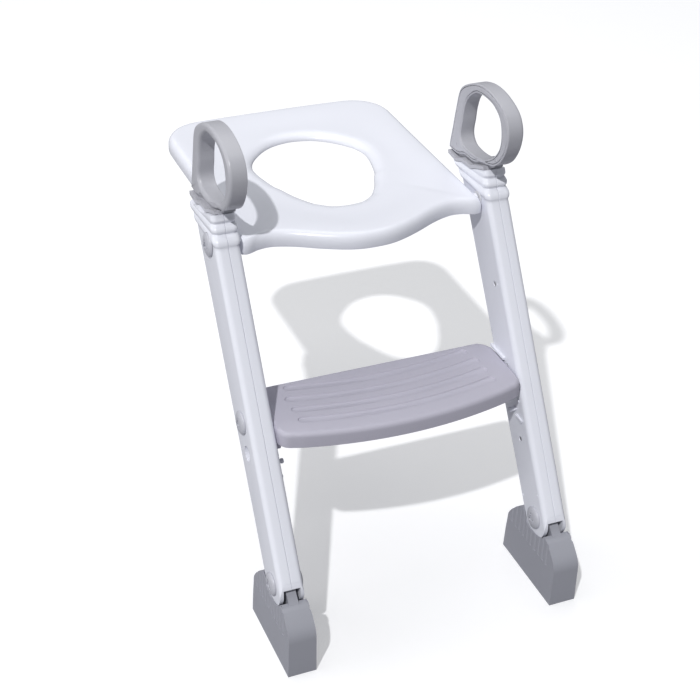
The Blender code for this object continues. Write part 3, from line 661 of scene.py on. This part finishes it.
gripShape = gripBody(grips)
join(gripShape, gripFlange(grips))
join(gripShape, sidePrism("post", grips["post"], gripMiddle - grips["postHalf"],
                          gripMiddle + grips["postHalf"]))
for spot in grips["plugs"]:
    drill(gripShape, spot, grips["in"] - 0.001, grips["in"] + 0.0090, grips["plug"], 16)
settlePair(gripShape, "gripRing", "ladder", "grey", "grip_grey", ["grip_body"], soften=0.0003)
coverIn, coverBack = grips["in"], grips["in"] + grips["cover"] - 0.0003
coverShape = hoop("cover", [
    ("rim", 0.0036, coverIn - 0.0003), ("rim", 0.0029, coverIn + 0.0004), ("rim", 0.0029, coverBack),
    ("eye", 0.0025, coverBack), ("eye", 0.0025, coverIn + 0.0004), ("eye", 0.0032, coverIn - 0.0003)])
for spot in grips["plugs"]:
    drill(coverShape, spot, grips["in"] - 0.01, grips["in"] + 0.01, grips["plug"], 16)
settlePair(coverShape, "gripCover", "ladder", "grey", "grip_grey", ["grip_cover"], soften=0)

print("caps")
caps = {"radius": 0.0145, "rise": 0.0052, "flat": 0.30, "notch": 0.0022, "notchOut": 0.0052,
        "notchDepth": 0.0026, "hub": (0.0036, 0.0030), "hubDepth": 0.0013, "spin": 200}


def snapCap(c, centre, face, way):
    high = face + way * (c["rise"] + 0.01)
    profile = [(0.0003, c["radius"]), (0.0012, c["radius"])]
    for k in range(1, 9):
        t = math.pi / 2 * k / 8
        rise = 0.0012 + (c["rise"] - 0.0012) * math.sin(t)
        profile.append((rise, c["radius"] * (c["flat"] + (1 - c["flat"]) * math.cos(t))))
    cap = turned("cap", centre, [(face + way * x, r) for x, r in profile], 64)
    floorAt = face + way * (c["rise"] - c["notchDepth"])
    for k in range(3):  # three key notches around the middle
        a = math.radians(c["spin"] + 120 * k)
        spot = (centre[0] + c["notchOut"] * math.cos(a), centre[1] + c["notchOut"] * math.sin(a))
        cut(cap, turned("notch", spot, [(floorAt, c["notch"]), (high, c["notch"])], 20))
    low = face + way * (c["rise"] - c["hubDepth"])
    return cut(cap, turned("hub", centre, [(low, c["hub"][0]), (high, c["hub"][1])], 24))


for stem, centre, face, way in (("hinge_cap", hinge, outFace, 1), ("step_cap", stepAxis, outFace, 1),
                                ("foot_cap_outer", footPivot, outFace, 1),
                                ("foot_cap_inner", footPivot, inFace, -1)):
    settlePair(snapCap(caps, centre, face, way), stem.replace("_", "") + "Dome", "ladder", "capGrey",
               "cap_grey", [stem], soften=0.0002)

print("step")
step = {
    "top": 0.2620, "low": 0.2420, "wall": 0.0035, "frontRound": (0.0056, 0.0062), "ceiling": 0.2578,
    # each groove: how far back it lies at the middle, and half its length
    "grooves": ((0.1248, 0.1225), (0.1470, 0.1225), (0.1695, 0.1225), (0.1935, 0.1160)),
    "grooveHalf": 0.0062, "grooveDepth": 0.0018, "bow": 0.95, "front": 0.0951, "frontBow": 0.98,
    "lug": [(0.1330, 0.2440), (0.1500, 0.2440), (0.1440, 0.2300), (0.1365, 0.2300)],
    "lugSides": (0.1512, 0.1560), "bore": 0.0028,
    "corner": [(0.1410, 0.1152), (0.1492, 0.1180), (0.1550, 0.1236), (0.1580, 0.1325), (0.1586, 0.1450),
               (0.1586, 0.1700), (0.1586, 0.1990), (0.1572, 0.2070), (0.1530, 0.2140), (0.1468, 0.2190),
               (0.1390, 0.2212), (0.0900, 0.2212), (0.0450, 0.2212), (0.0, 0.2212)],
}
stepHalf = [(0.1330 * k / 12, step["front"] + step["frontBow"] * (0.1330 * k / 12) ** 2)
            for k in range(13)] + step["corner"]
stepEdge = resample(smoothLine(mirrored(stepHalf), 5), 260)


def stepRing(inset, z):
    return [(x, y, z) for x, y in offset(stepEdge, inset)]


def stepTread(s):
    wide, tall = s["frontRound"]
    rings = [stepRing(0.0006, s["low"]), stepRing(0, s["low"] + 0.0006),
             stepRing(0, s["top"] - tall)]
    for k in range(1, 9):
        t = math.pi / 2 * k / 8
        rings.append(stepRing(wide * (1 - math.cos(t)), s["top"] - tall * (1 - math.sin(t))))
    top = loft("stepTread", rings)
    hollow = loft("hollow", [stepRing(s["wall"], s["low"] - 0.002), stepRing(s["wall"], s["ceiling"])])
    cut(top, hollow)
    for side in (1, -1):
        join(top, pillar(side * 0.14525, 0.1650, 0.01075, 0.0150, s["low"] + 0.0004, 0.2585))
        join(top, sidePrism("lug", s["lug"], side * s["lugSides"][0], side * s["lugSides"][1]))
        drill(top, stepAxis, side * 0.1390, side * 0.17, s["bore"])
    return top


def grooveLine(s, row, reach, half):
    spots = [(reach * k / 14, row + s["bow"] * (reach * k / 14) ** 2) for k in range(-14, 15)]
    outline = [(x, y - half) for x, y in spots]
    for (x, y), way in ((spots[-1], 1), (spots[0], -1)):
        if way < 0:
            outline += [(a, b + half) for a, b in reversed(spots)]
        outline += [(x + way * half * math.cos(t), y + way * half * math.sin(t))
                    for t in (math.radians(-75 + 25 * k) for k in range(7))]
    return outline


tread = stepTread(step)
base, lip = step["top"] - step["grooveDepth"], step["top"] + 0.0004
grooveWall = ((-0.0015, base), (-0.0006, base + 0.0004), (0.0002, step["top"]), (0.0006, lip))
for row, reach in step["grooves"]:
    rings = [[(x, y, z) for x, y in grooveLine(step, row, reach, step["grooveHalf"] + grow)]
             for grow, z in grooveWall]
    cut(tread, loft("groove", rings))
settle(tread, "step", "lilac", "step_lilac", ["step_tread"], soften=0)

print("feet")
feet = {
    "half": 0.0178, "draft": 0.0009, "slotHalf": 0.0157, "slotRound": 0.0285, "swing": 12,
    "tongue": 0.0060, "pin": 0.0043, "sole": (0.0630, 0.0151, 0.0553, 0.0028),
    # along and across the rail: the room it needs as the foot swings
    "room": ((-0.004, -0.0288), (0.06, -0.0312), (0.06, 0.0288), (-0.004, 0.0288)),
    "side": [(0.0, 0.0), (0.1265, 0.0), (0.1248, 0.0300), (0.1222, 0.0560), (0.1190, 0.0622),
             (0.1140, 0.0690), (0.1045, 0.0795), (0.0960, 0.0868), (0.0915, 0.0895), (0.0872, 0.0893),
             (0.0840, 0.0855),
             (0.0805, 0.0800), (0.0765, 0.0765), (0.0700, 0.0740), (0.0640, 0.0732), (0.0570, 0.0733),
             (0.0500, 0.0743), (0.0430, 0.0767), (0.0380, 0.0795), (0.0345, 0.0830), (0.0318, 0.0862),
             (0.0280, 0.0853), (0.0215, 0.0818), (0.0140, 0.0755), (0.0075, 0.0688), (0.0036, 0.0638),
             (0.0013, 0.0588), (0.0002, 0.0540), (0.0, 0.0500)],
    "notch": [(0.0100, 0.0838), (0.0450, 0.0838), (0.0450, 0.1000), (0.0100, 0.1000)],
    "flutes": 10, "fluteStep": 0.0100, "fluteFirst": 0.0205, "fluteLow": 0.0500,
    "fluteHalf": 0.0024, "fluteDepth": 0.0010,
}


def footShape(f):
    shape = sidePrism("foot", f["side"], railX - f["half"], railX + f["half"])
    slot = (railX - f["slotHalf"], railX + f["slotHalf"])
    cut(shape, turned("slot", footPivot, [(slot[0], f["slotRound"]), (slot[1], f["slotRound"])], 72))
    for swing in (-f["swing"], 0, f["swing"]):
        turn = math.radians(swing)
        path = []
        for along, fwd in f["room"]:
            a, b = along * up[0] + fwd * out[0], along * up[1] + fwd * out[1]
            path.append((footPivot[0] + a * math.cos(turn) - b * math.sin(turn),
                         footPivot[1] + a * math.sin(turn) + b * math.cos(turn)))
        cut(shape, sidePrism("swingRoom", path, *slot))
    cut(shape, sidePrism("lipNotch", f["notch"], *slot))
    tongue = arc(footPivot, 0.0160, -60, 150, 30)
    tongue += [(0.0290, 0.0836), (0.0300, 0.0640), (footPivot[0] + 0.0130, footPivot[1] - 0.0400)]
    join(shape, sidePrism("tongue", tongue, railX - f["tongue"], railX + f["tongue"]))
    drill(shape, footPivot, railX - 0.01, railX + 0.01, f["pin"])
    for k in range(f["flutes"]):
        y = f["fluteFirst"] + f["fluteStep"] * k
        for way in (1, -1):
            face = railX + way * f["half"]
            outline = [(face + way * 0.001, y - f["fluteHalf"]), (face, y - f["fluteHalf"]),
                       (face - way * f["fluteDepth"], y - f["fluteHalf"] * 0.35),
                       (face - way * f["fluteDepth"], y + f["fluteHalf"] * 0.35),
                       (face, y + f["fluteHalf"]), (face + way * 0.001, y + f["fluteHalf"])]
            cut(shape, planPrism("flute", outline, f["fluteLow"], 0.12))
    soleY, soleHalfX, soleHalfY, soleDeep = f["sole"]
    cut(shape, pillar(railX, soleY, soleHalfX, soleHalfY, -0.01, soleDeep))
    for vert in shape.data.vertices:
        aside = vert.co.x - railX
        if abs(aside) > f["slotHalf"] + 0.0003:
            vert.co.x -= math.copysign(f["draft"] * vert.co.z / 0.085, aside)
    return shape


settlePair(footShape(feet), "footBlock", "foot_SIDE_body", "footGrey", "foot_grey", ["foot"],
           soften=0.0007)

print("floor, lights and camera")
floorSettings = {"half": 6.0, "colour": (0.80, 0.80, 0.81), "bounce": (0.34, 0.34, 0.36), "glow": 0.30}
floorMesh = bpy.data.meshes.new("floor")
reach = floorSettings["half"]
floorMesh.from_pydata([(-reach, -reach, 0), (reach, -reach, 0), (reach, reach, 0), (-reach, reach, 0)],
                      [], [(0, 1, 2, 3)])
floor = bpy.data.objects.new("floor", floorMesh)
scene.collection.objects.link(floor)
floorLook = {"colour": floorSettings["colour"], "roughness": 0.7, "grain": 0.05, "grainScale": 60,
             "grainDepth": 0.0005, "drift": 0.01}
floorMat = plastic("paleFloor", floorLook)
floorMesh.materials.append(floorMat)
# the floor looks near white to the camera but throws little light back up at the front faces
tree = floorMat.node_tree
shader = tree.nodes["Principled BSDF"]
ray = tree.nodes.new("ShaderNodeLightPath")
swap = tree.nodes.new("ShaderNodeMix")
swap.data_type = "RGBA"
swap.inputs["A"].default_value = (*floorSettings["bounce"], 1)
wire(tree, ray.outputs["Is Camera Ray"], swap.inputs["Factor"])
wire(tree, shader.inputs["Base Color"].links[0].from_socket, swap.inputs["B"])
wire(tree, swap.outputs["Result"], shader.inputs["Base Color"])
glow = tree.nodes.new("ShaderNodeMath")
glow.operation = "MULTIPLY"
glow.inputs[1].default_value = floorSettings["glow"]
wire(tree, ray.outputs["Is Camera Ray"], glow.inputs[0])
shader.inputs["Emission Color"].default_value = (1, 1, 1, 1)
wire(tree, glow.outputs[0], shader.inputs["Emission Strength"])

lightSettings = {
    "sunFrom": (-0.55, -0.60, 1.0), "sunPower": 2.05, "sunAngle": 1.4,
    "panels": {"overhead": ((0.1, 0.7, 2.6), (0.0, 0.1, 0.3), 2.2, 20),
               "side": ((-2.4, 0.5, 1.1), (0.0, 0.0, 0.3), 1.8, 15)},
    "sky": (0.90, 0.94, 1.0), "skyPower": 0.22,
}
sunData = bpy.data.lights.new("key", "SUN")
sunData.energy = lightSettings["sunPower"]
sunData.angle = math.radians(lightSettings["sunAngle"])
sun = bpy.data.objects.new("key", sunData)
sun.rotation_mode = "QUATERNION"
sun.rotation_quaternion = Vector(lightSettings["sunFrom"]).to_track_quat("Z", "Y")
scene.collection.objects.link(sun)
for name, (spot, aim, size, power) in lightSettings["panels"].items():
    panelData = bpy.data.lights.new(name, "AREA")
    panelData.size = size
    panelData.energy = power
    panel = bpy.data.objects.new(name, panelData)
    panel.location = spot
    panel.rotation_mode = "QUATERNION"
    panel.rotation_quaternion = (Vector(spot) - Vector(aim)).to_track_quat("Z", "Y")
    scene.collection.objects.link(panel)
world = bpy.data.worlds.new("studio")
world.use_nodes = True
sky = world.node_tree.nodes["Background"]
sky.inputs["Color"].default_value = (*lightSettings["sky"], 1)
sky.inputs["Strength"].default_value = lightSettings["skyPower"]
scene.world = world
scene.view_settings.view_transform = "Standard"

cameraSettings = {"spot": (-0.6527, -1.51985, 1.3077), "yaw": 0.40707, "pitch": 0.57512, "roll": 0.0300,
                  "lens": 78.94}


def aimCamera(settings):
    yaw, pitch, roll = settings["yaw"], settings["pitch"], settings["roll"]
    ahead = Vector((math.sin(yaw) * math.cos(pitch), math.cos(yaw) * math.cos(pitch), -math.sin(pitch)))
    levelRight = Vector((math.cos(yaw), -math.sin(yaw), 0))
    levelUp = levelRight.cross(ahead)
    right = math.cos(roll) * levelRight + math.sin(roll) * levelUp
    above = math.cos(roll) * levelUp - math.sin(roll) * levelRight
    data = bpy.data.cameras.new("view")
    data.lens = settings["lens"]
    data.sensor_width = 36
    camera = bpy.data.objects.new("view", data)
    turn = Matrix((right, above, -ahead)).transposed().to_4x4()
    camera.matrix_world = Matrix.Translation(settings["spot"]) @ turn
    scene.collection.objects.link(camera)
    scene.camera = camera


aimCamera(cameraSettings)
